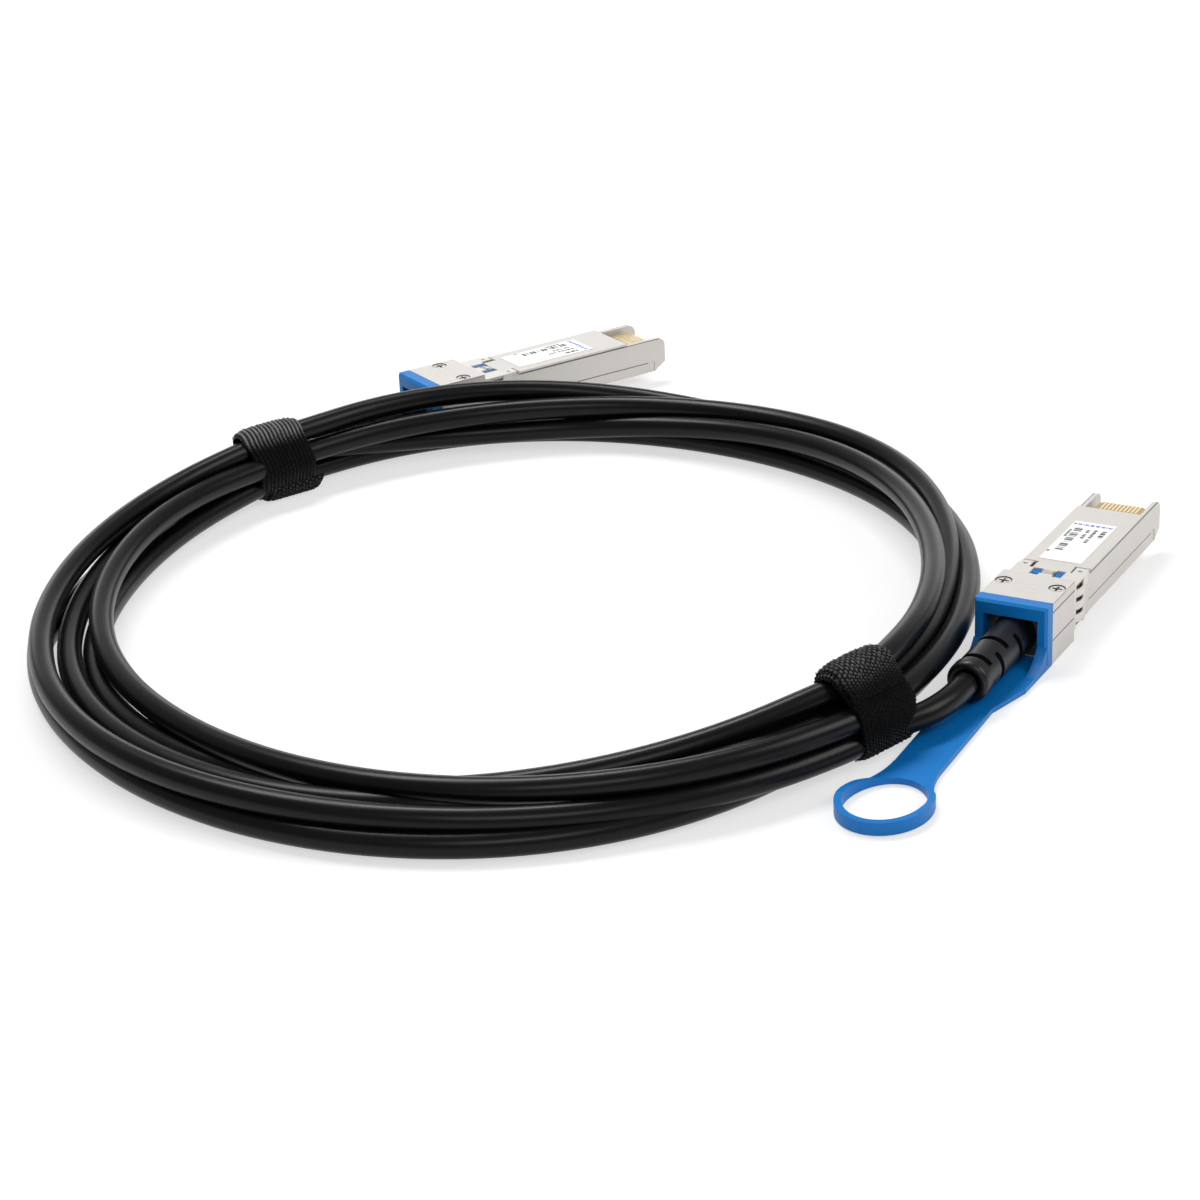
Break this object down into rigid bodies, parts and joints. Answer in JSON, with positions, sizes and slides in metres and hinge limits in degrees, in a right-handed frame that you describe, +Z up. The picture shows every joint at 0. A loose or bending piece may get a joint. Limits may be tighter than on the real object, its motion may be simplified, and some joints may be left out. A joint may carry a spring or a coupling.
{
  "type": "direct attach copper cable",
  "caption": "Coiled network cable with a latching plug module, blue pull tab and strain relief boot at each end, held by woven ties.",
  "frame": {"origin": "bottom centre of the box round both modules with their pull tabs, on the surface the cable lies on", "axes": "+Z up; +Y away from the side that the coil's front faces; the first module points up and to the right in plan, the second lies behind"},
  "size_m": [0.2231, 0.2511, 0.0174],
  "materials": {
    "cast_body": "nickel-plated die casting, satin",
    "cast_cover": "nickel-plated die casting, satin",
    "board": "green solder mask, gilded contacts at the edge",
    "spring_sheet": "thin sprung sheet",
    "latch_steel": "stamped latch",
    "pin_steel": "ground pin",
    "spring_wire": "coiled wire",
    "screw_steel": "cross-recessed flat heads",
    "boot_rubber": "moulded, satin black",
    "crimp_brass": "crimped sleeve",
    "wire_insulation": "foil-wrapped pairs",
    "label_paper": null,
    "tab_plastic": "moulded blue nylon, satin",
    "cable_jacket": "extruded jacket, satin black",
    "tie_fabric": "woven hook-and-loop strap"
  },
  "bodies": {
    "cable": {"lower_housing_a": "cast_body", "lower_housing_b": "cast_body", "top_cover_a": "cast_cover", "top_cover_b": "cast_cover", "circuit_board_a": "board", "circuit_board_b": "board", "emi_collar_a": "spring_sheet", "emi_collar_b": "spring_sheet", "latch_pin_a": "pin_steel", "latch_pin_b": "pin_steel", "return_spring_a": "spring_wire", "return_spring_b": "spring_wire", "cover_screws_a": "screw_steel", "cover_screws_b": "screw_steel", "strain_relief_a": "boot_rubber", "strain_relief_b": "boot_rubber", "cable_ferrule_a": "crimp_brass", "cable_ferrule_b": "crimp_brass", "inner_wires_a": "wire_insulation", "inner_wires_b": "wire_insulation", "label_plate_a": "label_paper", "label_plate_b": "label_paper", "cable_coil": "cable_jacket", "cable_tail_a": "cable_jacket", "cable_tail_b": "cable_jacket", "tie_right": "tie_fabric", "tie_left": "tie_fabric"},
    "tab_a": {"pull_tab_a": "tab_plastic"},
    "rocker_a": {"latch_rocker_a": "latch_steel"},
    "tab_b": {"pull_tab_b": "tab_plastic"},
    "rocker_b": {"latch_rocker_b": "latch_steel"}
  },
  "joints": [
    {"name": "tab_slide_a", "type": "slide", "parent": "cable", "child": "tab_a", "axis": [-0.4924, -0.8704, 0], "range_m": [0, 0.0016], "stiffness_N_per_m": 1000},
    {"name": "latch_tilt_a", "type": "hinge", "parent": "cable", "child": "rocker_a", "pos_m": [0.07448, -0.04774, 0.0111], "axis": [-0.8704, 0.4924, 0], "range_deg": [0, 7], "deforming": ["return_spring_a"]},
    {"name": "tab_slide_b", "type": "slide", "parent": "cable", "child": "tab_b", "axis": [-0.8406, -0.5417, 0], "range_m": [0, 0.0016], "stiffness_N_per_m": 1000},
    {"name": "latch_tilt_b", "type": "hinge", "parent": "cable", "child": "rocker_b", "pos_m": [-0.03692, 0.08923, 0.0111], "axis": [-0.5417, 0.8406, 0], "range_deg": [0, 7], "deforming": ["return_spring_b"]}
  ],
  "couplings": [
    {"joint": "latch_tilt_a", "follows": "tab_slide_a", "rad_per_m": 76.4},
    {"joint": "latch_tilt_b", "follows": "tab_slide_b", "rad_per_m": 76.4}
  ]
}
